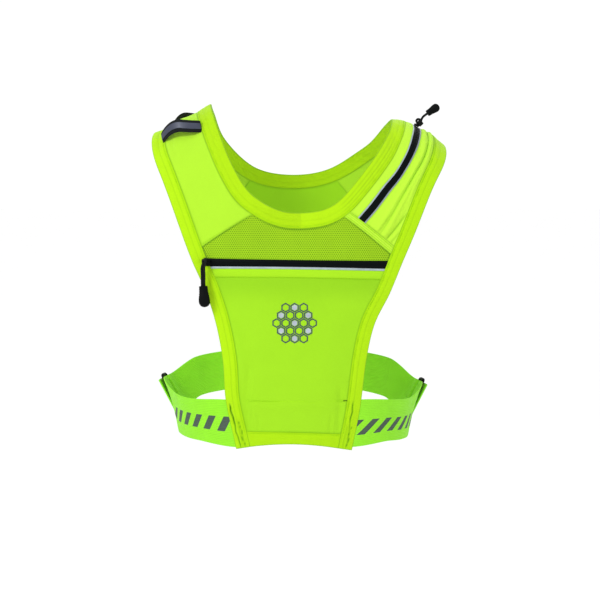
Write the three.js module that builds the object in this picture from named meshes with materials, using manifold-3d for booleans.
import * as THREE from 'three';
import { mergeVertices } from 'three/addons/utils/BufferGeometryUtils.js';
import loadManifold from 'manifold-3d';

// A lime running vest in the shape that it has when worn. Sizes are in millimetres. X points to the wearer's
// left, Y to the back and Z up, and the origin lies midway between the straps at the top of the shoulders.
const vestHeight = 400; // top of the shoulders to the foot of the front
const strapReach = 180; // middle to the outer edge of a shoulder strap
const bodyHalfWidth = 234; // half of the widest part of the form that the vest lies on
const bodyDepth = 240; // chest to shoulder blades of that form

const clothThickness = 1.4;
const bindingThickness = 2.2;
const bindingWidth = 18; // folded edge bands round the arms
const neckBindingWidth = 16;
const pieceGap = 0.5; // left between pieces that are sewn edge to edge
const bandCrown = 0.4; // how far the middle of a folded band swells

const hemWidth = 19;
const backHemRise = 34; // how much higher the back ends than the front
const zipTapeWidth = 9.2;
const zipTapeThickness = 1.6;
const pipingWidth = 3.4;
const pipingThickness = 1.8;
const zipCrown = 0.5; // swell of a zip's tape and its piping
const pocketHemWidth = 8.6;
const pocketHemThickness = 1.9;
const shoulderTapeWidth = 8;
const shoulderPipingWidth = 2.2;
const seamBandWidth = 9.4;
const seamBandThickness = 2.2;
const seamBandCrown = 0.6;
const bandClearance = 1; // between the seam band and the foot of the shoulder zip

const beltWidth = 50;
const beltThickness = 1.6;
const beltTail = 16; // what hangs back over the belt after its ring
const backTailShare = 0.82; // of beltTail, on the back's straps
const ringReach = { flat: 5, end: 44 }; // distances from the ring where a strap leaves its plane and meets the body
const ringBar = 2.6;
const ringSlot = 8.4;
const ringClearance = 0.6;
const beltFoldSteps = 6; // flats of the fold round the ring's bar

const loopWidth = 12;
const loopThickness = 1.2;
const loopTapeWidth = 7;
const loopTapeThickness = 0.6;
const loopTapeGap = 0.3;
const loopFullness = 0.8; // power of the sine that a loop's arch follows

const pullCordDiameter = 2.2;
const pullCordClearance = 0.4;
const pullCordSpread = 1.5; // how much wider its strands lie at the bend than at the tip
const pullCordSteps = 26;
const pullTipRadius = 5.4;
const pullTipLength = 24;
const pullTipFlat = 0.62; // depth of a tip as a share of its width

const lime = 0xa8f028;
const limeBright = 0xb9ff3c;
const limeEdge = 0xbefa14;
const limeMesh = 0x96d71e;
const limeBelt = 0x96fa32;
const black = 0x0a0c12;
const silver = 0xbec8cd;
const greyTape = 0x5a5a64;

// Heights are shares of vestHeight down from the origin, half widths of bodyHalfWidth and the
// depths of bodyDepth. round is the power of the level's rounded outline.
const bodyLevels = [
  { down: -0.125, half: 0, front: 0, back: 0, round: 2 },
  { down: -0.035, half: 0.44, front: 0.242, back: 0.25, round: 2 },
  { down: 0.055, half: 0.744, front: 0.308, back: 0.342, round: 2.1 },
  { down: 0.13, half: 0.915, front: 0.358, back: 0.417, round: 2.2 },
  { down: 0.25, half: 1, front: 0.421, back: 0.475, round: 2.3 },
  { down: 0.4, half: 0.919, front: 0.467, back: 0.5, round: 2.4 },
  { down: 0.57, half: 0.735, front: 0.488, back: 0.467, round: 2.4 },
  { down: 0.8, half: 0.645, front: 0.483, back: 0.417, round: 2.4 },
  { down: 1, half: 0.6, front: 0.475, back: 0.4, round: 2.4 },
];

// The edges run in two coordinates: across is a share of strapReach, and turn goes from 0 at the foot of the
// front over the shoulder's crest at 1 to 2 at the foot of the back.
const rightArmRows = [
  { across: -0.372, turn: 0.012 },
  { across: -0.44, turn: 0.086 },
  { across: -0.456, turn: 0.146 },
  { across: -0.492, turn: 0.207 },
  { across: -0.55, turn: 0.27 },
  { across: -0.633, turn: 0.343 },
  { across: -0.726, turn: 0.428 },
  { across: -0.842, turn: 0.574 },
  { across: -0.918, turn: 0.72 },
  { across: -0.943, turn: 0.85 },
  { across: -0.932, turn: 1 },
  { across: -0.89, turn: 1.17 },
  { across: -0.8, turn: 1.35 },
  { across: -0.69, turn: 1.5 },
  { across: -0.58, turn: 1.62 },
  { across: -0.49, turn: 1.75 },
  { across: -0.45, turn: 1.86 },
  { across: -0.44, turn: 1.945 },
];
const leftArmRows = [
  { across: 0.383, turn: 0.01 },
  { across: 0.435, turn: 0.07 },
  { across: 0.478, turn: 0.153 },
  { across: 0.524, turn: 0.208 },
  { across: 0.626, turn: 0.273 },
  { across: 0.708, turn: 0.343 },
  { across: 0.792, turn: 0.423 },
  { across: 0.886, turn: 0.54 },
  { across: 0.985, turn: 0.7 },
  { across: 1.02, turn: 0.84 },
  { across: 1.01, turn: 1 },
  { across: 0.955, turn: 1.17 },
  { across: 0.845, turn: 1.35 },
  { across: 0.72, turn: 1.5 },
  { across: 0.6, turn: 1.62 },
  { across: 0.5, turn: 1.75 },
  { across: 0.455, turn: 1.86 },
  { across: 0.445, turn: 1.945 },
];
const neckRows = [
  { across: 0.05, turn: 0.402 },
  { across: 0.205, turn: 0.42 },
  { across: 0.321, turn: 0.453 },
  { across: 0.445, turn: 0.524 },
  { across: 0.538, turn: 0.601 },
  { across: 0.614, turn: 0.704 },
  { across: 0.653, turn: 0.84 },
  { across: 0.66, turn: 1 },
  { across: 0.63, turn: 1.15 },
  { across: 0.52, turn: 1.33 },
  { across: 0.3, turn: 1.46 },
  { across: 0, turn: 1.5 },
  { across: -0.3, turn: 1.46 },
  { across: -0.49, turn: 1.33 },
  { across: -0.56, turn: 1.15 },
  { across: -0.572, turn: 1 },
  { across: -0.565, turn: 0.85 },
  { across: -0.532, turn: 0.715 },
  { across: -0.468, turn: 0.596 },
  { across: -0.362, turn: 0.49 },
  { across: -0.239, turn: 0.441 },
  { across: -0.103, turn: 0.412 },
];
const shoulderZipRows = [
  { across: 0.405, turn: 0.397 },
  { across: 0.522, turn: 0.458 },
  { across: 0.601, turn: 0.513 },
  { across: 0.695, turn: 0.593 },
  { across: 0.779, turn: 0.708 },
  { across: 0.824, turn: 0.866 },
  { across: 0.828, turn: 1.02 },
];

// Heights of the front's cross lines at the wearer's right edge, as shares of vestHeight below the origin.
const frontLines = { hem: 0.967, hemTop: 0.919, zip: 0.4165 };
const frontTilt = 0.0075; // the wearer's left side hangs lower by this share of vestHeight
const hemArch = 0.012; // how far the middle of the hem is drawn up
const seamLines = { rightNeck: 0.287, rightArm: 0.381, leftNeck: 0.279, leftArm: 0.379 };
const backSeamLines = { neck: 0.2, arm: 0.33 };
const zipTopTurn = 1.02; // where the shoulder zip and its panels end, just behind the crest

// Long soft folds in the panel beside the shoulder zip. The ends are shares of the panel, from the zip
// to the arm and from the seam up, depth is a share of foldDepth and width a share of the panel.
const foldDepth = 2.4;
const shoulderFolds = [
  { fromAcross: 0.34, fromUp: 0, toAcross: 0.62, toUp: 0.72, depth: -1, width: 0.1 },
  { fromAcross: 0.48, fromUp: 0, toAcross: 0.8, toUp: 0.5, depth: 0.9, width: 0.12 },
  { fromAcross: 0.6, fromUp: 0, toAcross: 0.9, toUp: 0.42, depth: -1, width: 0.09 },
  { fromAcross: 0.3, fromUp: 0.25, toAcross: 0.42, toUp: 1, depth: 0.8, width: 0.18 },
  { fromAcross: 0.72, fromUp: 0.45, toAcross: 0.74, toUp: 1, depth: 1.1, width: 0.14 },
  { fromAcross: 0.52, fromUp: 0.72, toAcross: 0.5, toUp: 1, depth: -0.8, width: 0.08 },
];
// Puckers where the pocket's lower corners are gathered to the belt, in shares of the pocket.
const pocketFolds = [
  { fromAcross: 0.03, fromUp: 0, toAcross: 0.1, toUp: 0.4, depth: -0.5, width: 0.035 },
  { fromAcross: 0.96, fromUp: 0, toAcross: 0.92, toUp: 0.3, depth: -0.6, width: 0.035 },
  { fromAcross: 0.06, fromUp: 0.3, toAcross: 0.02, toUp: 0.75, depth: 0.4, width: 0.05 },
];

// The belt's climb towards the back, by the angle round the body from the front. The lengths are shares
// of beltWidth.
const beltTop = 0.836; // share of vestHeight below the origin, at the front
const beltClimb = [
  { angle: 0, right: 0, left: 0 },
  { angle: 45, right: 0, left: -0.01 },
  { angle: 66, right: 0, left: -0.08 },
  { angle: 86, right: 0.04, left: -0.1 },
  { angle: 104, right: 0.3, left: 0.16 },
  { angle: 125, right: 0.56, left: 0.5 },
  { angle: 150, right: 0.68, left: 0.66 },
];
const beltStartAngle = { front: 40, back: 150 }; // where the straps leave the arm bands
const ringAngle = { right: 101, left: 102 };
const ringLean = 22; // degrees that a ring's head leans away from the body
const ringStand = 2.5; // how far its middle stands off

const loops = {
  front: { right: { across: -0.862, turn: 0.812 }, left: { across: -0.6, turn: 0.765 }, height: 9 },
  rear: { right: { across: -0.81, turn: 1.1 }, left: { across: -0.61, turn: 1.1 }, height: 8.5 },
};

const turnSpan = 250; // millimetres that one turn counts for when an edge is smoothed
const degree = Math.PI / 180;

// The value at a place in a table, on a smooth curve through its rows.
function follow(rows, key, value, at) {
  const last = rows.length - 1;
  if (at <= rows[0][key]) return rows[0][value];
  if (at >= rows[last][key]) return rows[last][value];
  let i = 0;
  while (at > rows[i + 1][key]) i += 1;
  const slope = (j) => {
    const a = rows[Math.max(j - 1, 0)];
    const b = rows[Math.min(j + 1, last)];
    return (b[value] - a[value]) / (b[key] - a[key]);
  };
  const width = rows[i + 1][key] - rows[i][key];
  const s = (at - rows[i][key]) / width;
  const fromRow = (2 * s ** 3 - 3 * s ** 2 + 1) * rows[i][value] + (s ** 3 - 2 * s ** 2 + s) * width * slope(i);
  const toRow = (3 * s ** 2 - 2 * s ** 3) * rows[i + 1][value] + (s ** 3 - s ** 2) * width * slope(i + 1);
  return fromRow + toRow;
}

const level = (z, what) => follow(bodyLevels, 'down', what, -z / vestHeight);
const halfWidth = (z) => bodyHalfWidth * level(z, 'half');

// The height of the shoulder's crest at a distance from the middle.
function crest(x) {
  let low = -bodyLevels[4].down * vestHeight;
  let high = -bodyLevels[0].down * vestHeight;
  for (let i = 0; i < 36; i += 1) {
    const middle = (low + high) / 2;
    if (halfWidth(middle) > Math.abs(x)) low = middle;
    else high = middle;
  }
  return (low + high) / 2;
}

// The height that turn 1 stands for. It follows the crest, but stays round over the open neck.
const openNeck = 0.5 * strapReach;
const openNeckTop = crest(openNeck);
const openNeckSlope = (crest(openNeck + 1) - crest(openNeck - 1)) / 2;
function topAt(x) {
  if (Math.abs(x) >= openNeck) return crest(x);
  return openNeckTop + (openNeckSlope * (x * x - openNeck * openNeck)) / (2 * openNeck);
}

function depthAt(x, z, behind) {
  const power = level(z, 'round');
  const share = Math.min(Math.abs(x) / Math.max(halfWidth(z), 1e-6), 1);
  const reach = behind ? bodyDepth * level(z, 'back') : -bodyDepth * level(z, 'front');
  return reach * (1 - share ** power) ** (1 / power);
}

function heightAt(at) {
  const top = topAt(at.x);
  return top - (top + vestHeight) * (1 - at.turn) ** 2;
}

function turnAt(x, z, behind) {
  const top = topAt(x);
  const share = Math.sqrt(Math.max((top - z) / (top + vestHeight), 0));
  return behind ? 1 + share : 1 - share;
}

function onBody(at) {
  const z = heightAt(at);
  return new THREE.Vector3(at.x, depthAt(at.x, z, at.turn > 1), z);
}

function slopes(at) {
  const stepX = 0.5;
  const stepTurn = 0.002;
  const alongX = onBody({ x: at.x + stepX, turn: at.turn }).sub(onBody({ x: at.x - stepX, turn: at.turn }));
  const alongTurn = onBody({ x: at.x, turn: at.turn + stepTurn })
    .sub(onBody({ x: at.x, turn: at.turn - stepTurn }));
  return { alongX: alongX.divideScalar(2 * stepX), alongTurn: alongTurn.divideScalar(2 * stepTurn) };
}

function outwards(at) {
  const { alongX, alongTurn } = slopes(at);
  return alongX.cross(alongTurn).normalize();
}

function lifted(at, lift) {
  return onBody(at).addScaledVector(outwards(at), lift);
}

// The place that lies a distance along the surface in a direction from another one.
function walk(at, direction, distance) {
  const steps = Math.max(1, Math.ceil(Math.abs(distance) / 4));
  const here = { x: at.x, turn: at.turn };
  for (let i = 0; i < steps; i += 1) {
    const { alongX, alongTurn } = slopes(here);
    const wanted = direction.clone().projectOnPlane(alongX.clone().cross(alongTurn).normalize());
    wanted.setLength(Math.abs(distance) / steps).multiplyScalar(Math.sign(distance));
    const xx = alongX.dot(alongX);
    const xt = alongX.dot(alongTurn);
    const tt = alongTurn.dot(alongTurn);
    const wx = wanted.dot(alongX);
    const wt = wanted.dot(alongTurn);
    const scale = xx * tt - xt * xt;
    here.x += (wx * tt - wt * xt) / scale;
    here.turn += (wt * xx - wx * xt) / scale;
  }
  return here;
}

// An edge of the vest as a function from 0 to 1, through the rows of its table.
function edgeLine(rows, closed = false) {
  const points = rows.map((row) => new THREE.Vector3(row.across * strapReach, row.turn * turnSpan, 0));
  const curve = new THREE.CatmullRomCurve3(points, closed, 'centripetal');
  curve.arcLengthDivisions = 400;
  return (s) => {
    const point = curve.getPointAt(closed ? ((s % 1) + 1) % 1 : THREE.MathUtils.clamp(s, 0, 1));
    return { x: point.x, turn: point.y / turnSpan };
  };
}

// A line beside an edge, at a distance along the cloth. On the front, going up, it lies to the right.
function beside(line, distance) {
  if (distance === 0) return line;
  return (s) => {
    const step = 0.002;
    const ahead = onBody(line(s + step)).sub(onBody(line(s - step)));
    return walk(line(s), ahead.cross(outwards(line(s))), distance);
  };
}

function run(line, from, to, steps) {
  return Array.from({ length: steps + 1 }, (_, i) => line(from + ((to - from) * i) / steps));
}

// Where a line reaches a height or a turn, between two places on it.
function whereAt(line, measure, wanted, from, to) {
  let a = from;
  let b = to;
  const rising = measure(line(b)) > measure(line(a));
  for (let i = 0; i < 30; i += 1) {
    const middle = (a + b) / 2;
    if (measure(line(middle)) < wanted === rising) a = middle;
    else b = middle;
  }
  return (a + b) / 2;
}
const turnOf = (at) => at.turn;

const rightArm = edgeLine(rightArmRows);
const leftArm = edgeLine(leftArmRows);
const neck = edgeLine(neckRows, true);
const shoulderZip = edgeLine(shoulderZipRows);

const innerRight = beside(rightArm, bindingWidth + pieceGap);
const innerLeft = beside(leftArm, -(bindingWidth + pieceGap));
const belowNeck = beside(neck, neckBindingWidth + pieceGap);

// The stretches of the edges that lie on the front and on the back. The neck's line starts in the middle of
// the front and goes round by the wearer's left.
const onFront = { from: 0, to: 0.45 };
const onBack = { from: 1, to: 0.56 };
const neckLeftFront = { from: 0.02, to: 0.3 };
const neckRightFront = { from: 0.98, to: 0.74 };
const neckLeftBack = { from: 0.48, to: 0.36 };
const neckRightBack = { from: 0.56, to: 0.66 };

const findHeight = (line, share, part) => whereAt(line, heightAt, -share * vestHeight, part.from, part.to);
const findTurn = (line, turn, from, to) => whereAt(line, turnOf, turn, from, to);

const mixTurns = (a, b, s) => ({
  x: THREE.MathUtils.lerp(a.x, b.x, s),
  turn: THREE.MathUtils.lerp(a.turn, b.turn, s),
});
const mixHeights = (behind) => (a, b, s) => {
  const x = THREE.MathUtils.lerp(a.x, b.x, s);
  return { x, turn: turnAt(x, THREE.MathUtils.lerp(heightAt(a), heightAt(b), s), behind) };
};

// A seam's places from one end up to the other, without that other end.
const ramp = (a, b, steps) => Array.from({ length: steps }, (_, i) => mixTurns(a, b, i / steps));

// Rows of places from the line a to the line b.
function between(a, b, steps, mix = mixTurns) {
  return Array.from({ length: steps + 1 }, (_, j) => a.map((from, i) => mix(from, b[i], j / steps)));
}

// A cross line of the front or back, from one arm's band to the other, at a height below the origin.
function acrossBody(share, steps, behind = false, arch = 0, tilt = frontTilt) {
  const part = behind ? onBack : onFront;
  const a = innerRight(findHeight(innerRight, share, part));
  const b = innerLeft(findHeight(innerLeft, share + tilt, part));
  return Array.from({ length: steps + 1 }, (_, i) => {
    const s = i / steps;
    const x = THREE.MathUtils.lerp(a.x, b.x, s);
    const z = THREE.MathUtils.lerp(heightAt(a), heightAt(b), s) + 4 * arch * vestHeight * s * (1 - s);
    return { x, turn: turnAt(x, z, behind) };
  });
}

// A closed solid from its triangles' corners.
function solid(points, triangles) {
  const geometry = new THREE.BufferGeometry();
  geometry.setAttribute('position', new THREE.Float32BufferAttribute(points.flatMap((p) => [p.x, p.y, p.z]), 3));
  geometry.setIndex(triangles.flat());
  return faceted(geometry);
}

function faceted(geometry) {
  const flat = geometry.toNonIndexed();
  flat.computeVertexNormals();
  return flat;
}

// The closed skin round two grids of points, the outer and the inner face of a piece of cloth.
function skin(outer, inner, closedLoop = false) {
  const rows = outer.length;
  const columns = outer[0].length;
  const points = [...outer.flat(), ...inner.flat()];
  const out = (i, j) => (i % rows) * columns + j;
  const into = (i, j) => rows * columns + out(i, j);
  const triangles = [];
  const quad = (a, b, c, d) => triangles.push([a, b, c], [a, c, d]);
  const lastRow = closedLoop ? rows : rows - 1;
  for (let i = 0; i < lastRow; i += 1) {
    for (let j = 0; j < columns - 1; j += 1) {
      quad(out(i, j), out(i, j + 1), out(i + 1, j + 1), out(i + 1, j));
      quad(into(i, j), into(i + 1, j), into(i + 1, j + 1), into(i, j + 1));
    }
    quad(out(i, 0), out(i + 1, 0), into(i + 1, 0), into(i, 0));
    quad(out(i + 1, columns - 1), out(i, columns - 1), into(i, columns - 1), into(i + 1, columns - 1));
  }
  if (!closedLoop) {
    for (let j = 0; j < columns - 1; j += 1) {
      quad(out(0, j + 1), out(0, j), into(0, j), into(0, j + 1));
      quad(out(rows - 1, j), out(rows - 1, j + 1), into(rows - 1, j + 1), into(rows - 1, j));
    }
  }
  return orient(points, triangles);
}

// The same triangles, all turned over if they enclose a negative volume.
function orient(points, triangles) {
  const volume = triangles.reduce((sum, [a, b, c]) => {
    return sum + points[a].clone().cross(points[b]).dot(points[c]);
  }, 0);
  return solid(points, volume > 0 ? triangles : triangles.map(([a, b, c]) => [a, c, b]));
}

// Cloth over a grid of places. relief gives what is added to the lift at a share across and along the grid,
// and crown is how far the outer face swells in the middle of a band.
function cloth(grid, thickness, { lift = 0, crown = 0, relief = () => 0, closedLoop = false } = {}) {
  const lastRow = closedLoop ? grid.length : grid.length - 1;
  const face = (side) => grid.map((row, i) => row.map((at, j) => {
    const share = j / (row.length - 1);
    const swell = side > 0 ? crown * 4 * share * (1 - share) : 0;
    return lifted(at, lift + (side * thickness) / 2 + swell + relief(share, i / lastRow));
  }));
  return skin(face(1), face(-1), closedLoop);
}

// A grid turned so that its rows run the other way.
const turned = (grid) => grid[0].map((_, j) => grid.map((row) => row[j]));

function foldRelief(folds) {
  return (across, up) => folds.reduce((sum, fold) => {
    const dx = fold.toAcross - fold.fromAcross;
    const dy = fold.toUp - fold.fromUp;
    const share = THREE.MathUtils.clamp((up - fold.fromUp) / dy, -0.3, 1.3);
    const away = (across - fold.fromAcross - dx * share) / fold.width;
    const fade = THREE.MathUtils.smoothstep(1.3 - Math.abs(2 * share - 1), 0, 0.6);
    const hem = Math.min(1, 8 * across, 8 * (1 - across));
    return sum + fold.depth * foldDepth * Math.exp(-away * away) * fade * hem;
  }, 0);
}

const vest = new THREE.Group();
const manifold = await loadManifold();
manifold.setup();

function add(name, geometry, colour, roughness, metalness = 0) {
  const mesh = new THREE.Mesh(geometry, new THREE.MeshStandardMaterial({ color: colour, roughness, metalness }));
  mesh.name = name;
  vest.add(mesh);
  return mesh;
}

// Edge bands round the neck, the arms and the hems.
function addBindings() {
  const round = run(neck, 0, 1, 64).slice(0, -1);
  const outerEdge = run(beside(neck, neckBindingWidth), 0, 1, 64).slice(0, -1);
  const neckGrid = turned(between(round, outerEdge, 2));
  add('neck_binding', cloth(neckGrid, bindingThickness, { crown: bandCrown, closedLoop: true }), limeEdge, 0.8);

  for (const [side, line, width] of [['right', rightArm, bindingWidth], ['left', leftArm, -bindingWidth]]) {
    const grid = turned(between(run(line, 0, 1, 46), run(beside(line, width), 0, 1, 46), 2));
    add(`armhole_binding_${side}`, cloth(grid, bindingThickness, { crown: bandCrown }), limeEdge, 0.8);
  }

  const foot = acrossBody(frontLines.hem, 12, false, hemArch);
  const head = acrossBody(frontLines.hemTop, 12, false, hemArch / 4);
  add('hem_binding_front', cloth(turned(between(foot, head, 2, mixHeights(false))), bindingThickness,
    { crown: bandCrown }), limeEdge, 0.8);

  const backFoot = backFootShare();
  const backHem = [backFoot, backFoot - hemWidth / vestHeight].map((share) => acrossBody(share, 12, true, 0, 0));
  add('hem_binding_back', cloth(turned(between(...backHem, 2, mixHeights(true))), bindingThickness,
    { crown: bandCrown }), limeEdge, 0.8);
}

function backFootShare() {
  return frontLines.hem - backHemRise / vestHeight;
}

// The chest, from the hem up: pocket, the folded hem at its mouth, piping, zip and the mesh yoke.
function addChest() {
  const gap = pieceGap / vestHeight;
  const zipFoot = frontLines.zip + zipTapeWidth / vestHeight;
  const pipingFoot = zipFoot + gap + pipingWidth / vestHeight;
  const pocketHemFoot = pipingFoot + gap + pocketHemWidth / vestHeight;
  const pocketFoot = frontLines.hemTop - gap;
  const pocketHead = pocketHemFoot + gap;

  const pocketRows = 16;
  const pocket = Array.from({ length: pocketRows + 1 }, (_, i) => {
    const s = i / pocketRows;
    return acrossBody(THREE.MathUtils.lerp(pocketFoot, pocketHead, s), 12, false, (hemArch / 4) * (1 - s));
  });
  add('front_pocket_panel', cloth(pocket, clothThickness, { relief: foldRelief(pocketFolds) }), lime, 0.75);

  const band = (foot, head) => turned(between(acrossBody(foot, 16), acrossBody(head, 16), 2, mixHeights(false)));
  add('pocket_top_hem', cloth(band(pocketHemFoot, pipingFoot + gap), pocketHemThickness, { crown: bandCrown }),
    lime, 0.75);
  add('chest_zip_piping', cloth(band(pipingFoot, zipFoot + gap), pipingThickness, { crown: zipCrown }),
    silver, 0.35, 0.5);
  add('chest_zip_tape', cloth(band(zipFoot, frontLines.zip), zipTapeThickness, { crown: zipCrown }), black, 0.5);
  add('front_mesh_yoke', cloth(yokeGrid(frontLines.zip - gap), clothThickness), limeMesh, 0.85);
}

// The yoke stands on the zip. Its top follows the right strap's seam, the neck's band and the left seam band.
function yokeGrid(foot) {
  const gap = pieceGap / vestHeight;
  const armRight = innerRight(findHeight(innerRight, seamLines.rightArm + gap, onFront));
  const neckRight = findHeight(belowNeck, seamLines.rightNeck + gap, neckRightFront);
  const neckLeft = findHeight(belowNeck, leftBandFoot().neck + gap, neckLeftFront);
  const armLeft = innerLeft(findHeight(innerLeft, leftBandFoot().arm + gap, onFront));
  const mix = mixHeights(false);
  const top = [
    ...ramp(armRight, belowNeck(neckRight), 5),
    ...run(belowNeck, neckRight - 1, neckLeft, 10),
    ...ramp(armLeft, belowNeck(neckLeft), 5).reverse(),
  ];
  const bottom = acrossBody(foot, top.length - 1);
  const first = bottom[0];
  const last = bottom[bottom.length - 1];
  const onZip = top.map((at) => {
    const s = (at.x - top[0].x) / (top[top.length - 1].x - top[0].x);
    return mix(first, last, s);
  });
  return between(onZip, top, 5, mix);
}

// The seam band crosses the left strap. Its lower edge lies seamBandWidth below the upper one.
function leftBandFoot() {
  const drop = seamBandWidth / vestHeight;
  return { neck: seamLines.leftNeck + drop * 0.6, arm: seamLines.leftArm + drop };
}

function addRightStrap() {
  const armFoot = findHeight(innerRight, seamLines.rightArm, onFront);
  const neckFoot = findHeight(belowNeck, seamLines.rightNeck, neckRightFront);
  const armEnd = findHeight(innerRight, backSeamLines.arm, onBack);
  const neckEnd = findHeight(belowNeck, backSeamLines.neck, neckRightBack);
  const arm = run(innerRight, armFoot, armEnd, 32);
  const neckSide = run(belowNeck, neckFoot, neckEnd, 32);
  add('strap_panel_right', cloth(turned(between(arm, neckSide, 5)), clothThickness), limeBright, 0.75);
}

function addLeftStrap() {
  const gap = pieceGap / vestHeight;
  const neckFoot = findHeight(belowNeck, seamLines.leftNeck, neckLeftFront);
  const armFoot = findHeight(innerLeft, seamLines.leftArm, onFront);
  const neckLow = findHeight(belowNeck, leftBandFoot().neck, neckLeftFront);
  const armLow = findHeight(innerLeft, leftBandFoot().arm, onFront);
  const lower = between([belowNeck(neckLow)], [innerLeft(armLow)], 8).flat();
  const upper = between([belowNeck(neckFoot)], [innerLeft(armFoot)], 8).flat();
  add('strap_seam_band', cloth(turned(between(lower, upper, 2)), seamBandThickness, { crown: seamBandCrown }),
    limeBright, 0.75);

  const halfTape = shoulderTapeWidth / 2;
  const pipingStart = halfTape + pieceGap;
  const zipEdge = pipingStart + shoulderPipingWidth;
  const first = upper[0];
  const last = upper[upper.length - 1];
  const aboveBand = (at) => heightAt(at) - heightAt(mixTurns(first, last, (at.x - first.x) / (last.x - first.x)));
  const zipLine = (offset) => {
    const line = beside(shoulderZip, offset);
    return run(line, whereAt(line, aboveBand, bandClearance, 0, 0.4), 1, 22);
  };
  const strip = (from, to, columns) => turned(between(zipLine(from), zipLine(to), columns));
  add('shoulder_zip_tape', cloth(strip(-halfTape, halfTape, 2), zipTapeThickness, { crown: zipCrown }), black, 0.5);
  add('shoulder_zip_piping_inner', cloth(strip(-zipEdge, -pipingStart, 1), pipingThickness),
    silver, 0.35, 0.5);
  add('shoulder_zip_piping_outer', cloth(strip(pipingStart, zipEdge, 1), pipingThickness),
    silver, 0.35, 0.5);

  const neckFootAbove = findHeight(belowNeck, seamLines.leftNeck - gap, neckLeftFront);
  const armFootAbove = findHeight(innerLeft, seamLines.leftArm - gap, onFront);
  const neckTop = findTurn(belowNeck, zipTopTurn, 0.2, 0.38);
  const armTop = findTurn(innerLeft, zipTopTurn, 0.3, 0.7);
  const innerZip = zipLine(-(zipEdge + pieceGap));
  const outerZip = zipLine(zipEdge + pieceGap);
  add('strap_panel_left_inner', cloth(turned(between(run(belowNeck, neckFootAbove, neckTop, 22), innerZip, 1)),
    clothThickness), limeBright, 0.75);
  add('strap_panel_left_outer', cloth(turned(between(outerZip, run(innerLeft, armFootAbove, armTop, 22), 12)),
    clothThickness, { relief: foldRelief(shoulderFolds) }), limeBright, 0.75);

  const behindTurn = zipTopTurn + pieceGap / turnSpan;
  const armEnd = findHeight(innerLeft, backSeamLines.arm, onBack);
  const neckEnd = findHeight(belowNeck, backSeamLines.neck, neckLeftBack);
  const neckSide = run(belowNeck, findTurn(belowNeck, behindTurn, 0.2, 0.38), neckEnd, 16);
  const armSide = run(innerLeft, findTurn(innerLeft, behindTurn, 0.3, 0.7), armEnd, 16);
  add('strap_panel_left_back', cloth(turned(between(neckSide, armSide, 5)), clothThickness), limeBright, 0.75);
}

// The plain back, from its hem up to the straps' seams and the neck's band.
function addBack() {
  const gap = pieceGap / vestHeight;
  const mix = mixHeights(true);
  const foot = backFootShare() - hemWidth / vestHeight - gap;
  const shoulder = backSeamLines.arm + gap;
  const lowerRows = 8;
  const rows = Array.from({ length: lowerRows }, (_, i) => {
    return acrossBody(THREE.MathUtils.lerp(foot, shoulder, i / lowerRows), 20, true, 0, 0);
  });
  const neckRight = findHeight(belowNeck, backSeamLines.neck + gap, neckRightBack);
  const neckLeft = findHeight(belowNeck, backSeamLines.neck + gap, neckLeftBack);
  const armRight = innerRight(findHeight(innerRight, shoulder, onBack));
  const armLeft = innerLeft(findHeight(innerLeft, shoulder, onBack));
  const top = [
    ...ramp(armRight, belowNeck(neckRight), 5),
    ...run(belowNeck, neckRight, neckLeft, 8),
    ...ramp(armLeft, belowNeck(neckLeft), 5).reverse(),
  ];
  const chord = top.map((at) => mix(top[0], top[top.length - 1],
    (at.x - top[0].x) / (top[top.length - 1].x - top[0].x)));
  const shifted = rows.map((row) => top.map((at) => mix(row[0], row[row.length - 1],
    (at.x - top[0].x) / (top[top.length - 1].x - top[0].x))));
  const upper = between(chord, top, 3, mix);
  add('back_panel', cloth([...shifted, ...upper], clothThickness), lime, 0.75);
}

// A point on the body's level outline at an angle from the front, towards the wearer's left if side is 1.
function girth(side, angle, z, lift) {
  const power = 2 / level(z, 'round');
  const point = (degrees) => {
    const across = Math.sin(degrees * degree);
    const ahead = Math.cos(degrees * degree);
    const reach = ahead > 0 ? -bodyDepth * level(z, 'front') : bodyDepth * level(z, 'back');
    return new THREE.Vector3(side * halfWidth(z) * across ** power, reach * Math.abs(ahead) ** power, z);
  };
  const here = point(angle);
  const ahead = point(angle + 0.5).sub(point(angle - 0.5));
  const out = new THREE.Vector3(side * ahead.y, -side * ahead.x, 0).normalize();
  out.multiplyScalar(Math.sign(out.x * here.x + out.y * here.y));
  return here.addScaledVector(out, lift);
}

// The angle at which the level outline reaches a distance from the middle.
function angleAt(x, z, behind) {
  const share = (Math.abs(x) / halfWidth(z)) ** (level(z, 'round') / 2);
  const angle = Math.asin(Math.min(share, 1)) / degree;
  return behind ? 180 - angle : angle;
}

const climb = (side, angle) => beltWidth * follow(beltClimb, 'angle', side < 0 ? 'right' : 'left', angle);

// The angle that lies a distance further round the level outline.
function angleBeyond(side, angle, z, distance) {
  const steps = Math.max(1, Math.ceil(Math.abs(distance) / 2));
  let here = angle;
  for (let i = 0; i < steps; i += 1) {
    const speed = girth(side, here + 0.25, z, 0).distanceTo(girth(side, here - 0.25, z, 0)) / 0.5;
    here += distance / steps / speed;
  }
  return here;
}

const barLift = beltThickness / 2 + ringClearance + ringBar / 2;

// Where a ring lies: its middle, and the directions round the body, up and out.
function ringPlace(side) {
  const angle = side < 0 ? ringAngle.right : ringAngle.left;
  const z = -beltTop * vestHeight - beltWidth / 2 + climb(side, angle);
  const centre = girth(side, angle, z, barLift + ringStand);
  const along = girth(side, angle + 1, z, barLift).sub(girth(side, angle - 1, z, barLift)).normalize();
  const rise = girth(side, angle, z + beltWidth / 2, barLift).sub(girth(side, angle, z - beltWidth / 2, barLift));
  const up = rise.projectOnPlane(along).normalize().applyAxisAngle(along, side * ringLean * degree);
  const out = along.clone().cross(up).multiplyScalar(side).normalize();
  return { angle, centre, along, up, out };
}

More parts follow.
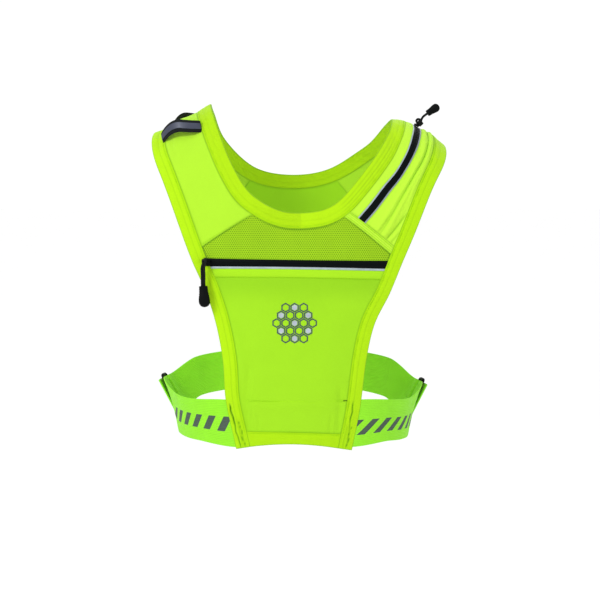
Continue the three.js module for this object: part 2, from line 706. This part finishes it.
// A belt strap from an arm's band to the ring, folded round the ring's bar, with its tail on the outside.
function beltStrap(side, behind) {
  const line = beside(side < 0 ? rightArm : leftArm, side * pieceGap);
  const part = behind ? onBack : onFront;
  const ring = ringPlace(side);
  const towards = behind ? -1 : 1;
  const barOffset = (-towards * (ringSlot + ringBar)) / 2;
  const half = beltThickness / 2;
  const bend = (radius) => Array.from({ length: beltFoldSteps + 1 }, (_, i) => {
    const turn = ((180 * i) / beltFoldSteps - 90) * degree;
    return { past: towards * radius * Math.cos(turn), lift: barLift + radius * Math.sin(turn) };
  });
  const straight = 14;
  const tailSteps = 5;
  const tail = -towards * (behind ? backTailShare : 1) * beltTail;
  // The strap's two faces seen from above. share goes from the arm's band to the bar, and past is the distance
  // beyond the bar.
  const steps = (count) => Array.from({ length: count }, (_, i) => i);
  const face = (turn) => [
    ...steps(straight).map((i) => ({ share: i / straight, lift: turn * half })),
    ...bend(barLift - turn * half),
    ...steps(tailSteps).map((i) => ({ past: (tail * (i + 1)) / tailSteps, lift: 2 * barLift - turn * half })),
  ];
  const heights = 3;
  const columns = steps(heights + 1).map((row) => {
    const up = row / heights - 0.5;
    const base = -beltTop * vestHeight + beltWidth * (up - 0.5);
    const startHeight = base + climb(side, behind ? beltStartAngle.back : beltStartAngle.front);
    const edge = line(whereAt(line, heightAt, startHeight, part.from, part.to));
    const start = angleAt(edge.x, startHeight, behind);
    const ringHeight = base + climb(side, ring.angle);
    const barAngle = angleBeyond(side, ring.angle, ringHeight, barOffset);
    const length = girth(side, start, ringHeight, 0).distanceTo(girth(side, barAngle, ringHeight, 0));
    return [1, -1].map((turn) => face(turn).map(({ share, past, lift }) => {
      const angle = share === undefined
        ? angleBeyond(side, barAngle, ringHeight, past) : THREE.MathUtils.lerp(start, barAngle, share);
      const distance = share === undefined ? past : -towards * (1 - share) * length;
      const round = girth(side, angle, base + climb(side, angle), lift);
      const atRing = ring.centre.clone().addScaledVector(ring.along, barOffset + distance)
        .addScaledVector(ring.up, up * beltWidth).addScaledVector(ring.out, lift - barLift);
      return atRing.lerp(round, THREE.MathUtils.smoothstep(Math.abs(distance), ringReach.flat, ringReach.end));
    }));
  });
  return skin(turned(columns.map((pair) => pair[0])), turned(columns.map((pair) => pair[1])));
}

function addBelt() {
  for (const [name, side] of [['right', -1], ['left', 1]]) {
    add(`belt_front_${name}`, beltStrap(side, false), limeBelt, 0.7);
    add(`belt_back_${name}`, beltStrap(side, true), limeBelt, 0.7);
    addRing(name, side);
  }
}

// The black ring that both straps of a side fold round.
function addRing(name, side) {
  const place = ringPlace(side);
  const inside = { high: beltWidth + 2 * ringClearance, wide: ringSlot };
  const frame = (wide, high, Kind, round) => {
    const shape = new Kind();
    shape.moveTo(-wide / 2 + round, -high / 2);
    shape.lineTo(wide / 2 - round, -high / 2);
    shape.lineTo(wide / 2, -high / 2 + round);
    shape.lineTo(wide / 2, high / 2 - round);
    shape.lineTo(wide / 2 - round, high / 2);
    shape.lineTo(-wide / 2 + round, high / 2);
    shape.lineTo(-wide / 2, high / 2 - round);
    shape.lineTo(-wide / 2, -high / 2 + round);
    shape.closePath();
    return shape;
  };
  const bevel = ringBar / 4;
  const shape = frame(inside.wide + 2 * ringBar - 2 * bevel, inside.high + 2 * ringBar - 2 * bevel,
    THREE.Shape, ringBar / 2);
  shape.holes.push(frame(inside.wide + 2 * bevel, inside.high + 2 * bevel, THREE.Path, ringBar / 4));
  const flat = ringBar - 2 * bevel;
  const geometry = new THREE.ExtrudeGeometry(shape, {
    depth: flat, bevelEnabled: true, bevelSize: bevel, bevelThickness: bevel, bevelSegments: 1,
  });
  geometry.translate(0, 0, -flat / 2);
  const mesh = add(`adjuster_ring_${name}`, geometry, black, 0.45);
  mesh.position.copy(place.centre);
  mesh.quaternion.setFromRotationMatrix(new THREE.Matrix4().makeBasis(place.along, place.up,
    place.along.clone().cross(place.up)));
}

// Elastic loops that stand up from the right strap, each with a reflective tape along it.
function addLoops() {
  for (const [name, loop] of Object.entries(loops)) {
    const ends = [loop.right, loop.left].map(({ across, turn }) => ({ x: across * strapReach, turn }));
    const middle = (s) => mixTurns(ends[0], ends[1], s);
    const strip = (width, columns) => {
      const [front, rear] = [-width / 2, width / 2].map((offset) => run(beside(middle, offset), 0, 1, 16));
      return turned(between(front, rear, columns));
    };
    const seat = bindingThickness / 2 + bandCrown + pieceGap + loopThickness / 2;
    const arch = (_, along) => loop.height * Math.sin(Math.PI * along) ** loopFullness;
    add(`${name}_loop`, cloth(strip(loopWidth, 2), loopThickness, { lift: seat, relief: arch }), black, 0.8);
    const tapeSeat = seat + (loopThickness + loopTapeThickness) / 2 + loopTapeGap;
    add(`${name}_loop_tape`, cloth(strip(loopTapeWidth, 1), loopTapeThickness, { lift: tapeSeat, relief: arch }),
      greyTape, 0.35, 0.3);
  }
}

const slider = {
  length: 10, headWidth: 7.6, tailWidth: 5.6, body: 2.2, opening: 3.2, bridge: 1.1, bridgeWidth: 2.6,
};

function outline(corners, Kind = THREE.Shape) {
  return new Kind(corners.map(([x, y]) => new THREE.Vector2(x, y)));
}

function merged(geometry) {
  const bare = geometry.clone();
  bare.deleteAttribute('normal');
  bare.deleteAttribute('uv');
  const { attributes, index } = mergeVertices(bare);
  return new manifold.Manifold(new manifold.Mesh({
    numProp: 3, vertProperties: attributes.position.array, triVerts: index.array,
  }));
}

// A slider's body with its bridge on top. It runs along x and stands up along y.
function sliderShape() {
  const half = slider.length / 2;
  const top = slider.body + slider.opening + slider.bridge;
  const [head, tail] = [slider.headWidth / 2, slider.tailWidth / 2];
  const corner = slider.headWidth / 5;
  const body = new THREE.ExtrudeGeometry(outline([
    [-half, -tail], [half - corner, -head], [half, corner - head], [half, head - corner], [half - corner, head],
    [-half, tail],
  ]), { depth: slider.body, bevelEnabled: false }).rotateX(-Math.PI / 2);
  const foot = slider.body / 2;
  const under = top - slider.bridge;
  const arch = outline([
    [-half * 0.8, foot], [-half * 0.5, foot], [-half * 0.38, under], [half * 0.38, under], [half * 0.5, foot],
    [half * 0.8, foot], [half * 0.55, top], [-half * 0.55, top],
  ]);
  const bridge = new THREE.ExtrudeGeometry(arch, { depth: slider.bridgeWidth, bevelEnabled: false });
  bridge.translate(0, 0, -slider.bridgeWidth / 2);
  const { vertProperties, triVerts } = merged(body).add(merged(bridge)).getMesh();
  const geometry = new THREE.BufferGeometry();
  geometry.setAttribute('position', new THREE.BufferAttribute(vertProperties, 3));
  geometry.setIndex(Array.from(triVerts));
  return faceted(geometry);
}

// A slider stands on its zip, with a bridge for the pull's cord. towards is the way it runs to close the zip. It
// gives back the middle of the bridge, the way out of the cloth and the way through under the bridge.
function addSlider(name, at, towards, lift) {
  const mesh = add(name, sliderShape(), black, 0.35, 0.4);
  const out = outwards(at);
  const ahead = towards.clone().projectOnPlane(out).normalize();
  const through = ahead.clone().cross(out);
  mesh.position.copy(lifted(at, lift));
  mesh.quaternion.setFromRotationMatrix(new THREE.Matrix4().makeBasis(ahead, out, through));
  const height = slider.body + slider.opening + slider.bridge / 2;
  return { bridge: mesh.position.clone().addScaledVector(out, height), out, through };
}

// A cord folded in two round a slider's bridge, and the moulded tip that holds both ends. bend is a place that
// the cord passes on its way to the tip, which starts at tipStart and points along tipAxis.
function addPull(name, { bridge, out, through }, bend, tipStart, tipAxis) {
  const strand = pullCordDiameter / 2 + pullCordClearance / 2;
  const over = slider.bridge / 2 + pullCordDiameter / 2 + pullCordClearance;
  const round = slider.bridgeWidth / 2 + pullCordDiameter / 2 + pullCordClearance;
  const near = (outShare, throughShare) => bridge.clone().addScaledVector(out, over * outShare)
    .addScaledVector(through, round * throughShare);
  const apart = out.clone().cross(tipAxis).normalize();
  const end = tipStart.clone().addScaledVector(tipAxis, -pullCordClearance);
  const before = end.clone().addScaledVector(tipAxis, -pullCordDiameter * 2);
  const path = new THREE.CatmullRomCurve3([
    end.clone().addScaledVector(apart, strand),
    before.clone().addScaledVector(apart, strand),
    bend.clone().addScaledVector(apart, strand * pullCordSpread),
    near(1, 0.8), near(1, -0.5), near(0.5, -1), near(-0.5, -1), near(-1, -0.5), near(-1, 0.8),
    bend.clone().addScaledVector(apart, -strand * pullCordSpread),
    before.clone().addScaledVector(apart, -strand),
    end.clone().addScaledVector(apart, -strand),
  ], false, 'centripetal');
  const section = new THREE.Shape();
  const sides = 6;
  for (let i = 0; i < sides; i += 1) {
    const turn = (2 * Math.PI * i) / sides;
    const x = (pullCordDiameter / 2) * Math.cos(turn);
    const y = (pullCordDiameter / 2) * Math.sin(turn);
    if (i === 0) section.moveTo(x, y);
    else section.lineTo(x, y);
  }
  section.closePath();
  const cord = new THREE.ExtrudeGeometry(section, { steps: pullCordSteps, extrudePath: path });
  add(`${name}_pull_cord`, cord, black, 0.8);

  const profile = [
    { along: 0, radius: 0 },
    { along: 0, radius: 0.62 },
    { along: 0.3, radius: 0.7 },
    { along: 0.48, radius: 0.88 },
    { along: 0.72, radius: 1 },
    { along: 0.88, radius: 0.84 },
    { along: 0.97, radius: 0.5 },
    { along: 1, radius: 0 },
  ];
  const points = profile.map((row) => new THREE.Vector2(row.radius * pullTipRadius, row.along * pullTipLength));
  const tip = new THREE.LatheGeometry(points, 12);
  tip.scale(1, 1, pullTipFlat);
  const mesh = add(`${name}_pull_tip`, tip, black, 0.6);
  mesh.position.copy(tipStart);
  const turn = new THREE.Matrix4().makeBasis(apart, tipAxis, apart.clone().cross(tipAxis));
  mesh.quaternion.setFromRotationMatrix(turn);
}

const pullHang = 26; // bridge of the chest's slider to the top of its tip
const pullForward = 0.3; // how far that tip hangs in front of the bridge
const chestSliderBack = 0.55; // of the slider's length, beyond the arm's band
const shoulderSliderAt = 0.975; // share of the shoulder zip's length
const shoulderPull = {
  bend: new THREE.Vector3(8.4, 1, 1.4), // from the bridge
  tip: new THREE.Vector3(11, 2, 9),
  axis: new THREE.Vector3(0.89, 0.08, 0.45).normalize(),
};

function addPulls() {
  const zipMiddle = frontLines.zip + zipTapeWidth / 2 / vestHeight;
  const right = innerRight(findHeight(innerRight, zipMiddle, onFront));
  const chestAt = { x: right.x - slider.length * chestSliderBack, turn: right.turn };
  const chestLift = bindingThickness / 2 + bandCrown + pieceGap;
  const chest = addSlider('chest_zip_slider', chestAt, new THREE.Vector3(1, 0, 0), chestLift);
  const hanging = (down) => chest.bridge.clone().add(new THREE.Vector3(0, -pullForward, -down));
  addPull('chest', chest, hanging(pullHang / 2), hanging(pullHang), new THREE.Vector3(0, 0, -1));

  const ahead = onBody(shoulderZip(shoulderSliderAt + 0.01)).sub(onBody(shoulderZip(shoulderSliderAt - 0.01)));
  const shoulderLift = zipTapeThickness / 2 + zipCrown + pieceGap;
  const shoulder = addSlider('shoulder_zip_slider', shoulderZip(shoulderSliderAt), ahead, shoulderLift);
  addPull('shoulder', shoulder, shoulder.bridge.clone().add(shoulderPull.bend),
    shoulder.bridge.clone().add(shoulderPull.tip), shoulderPull.axis);
}

addBindings();
addChest();
addRightStrap();
addLeftStrap();
addBack();
addBelt();
addLoops();
addPulls();

export default vest;
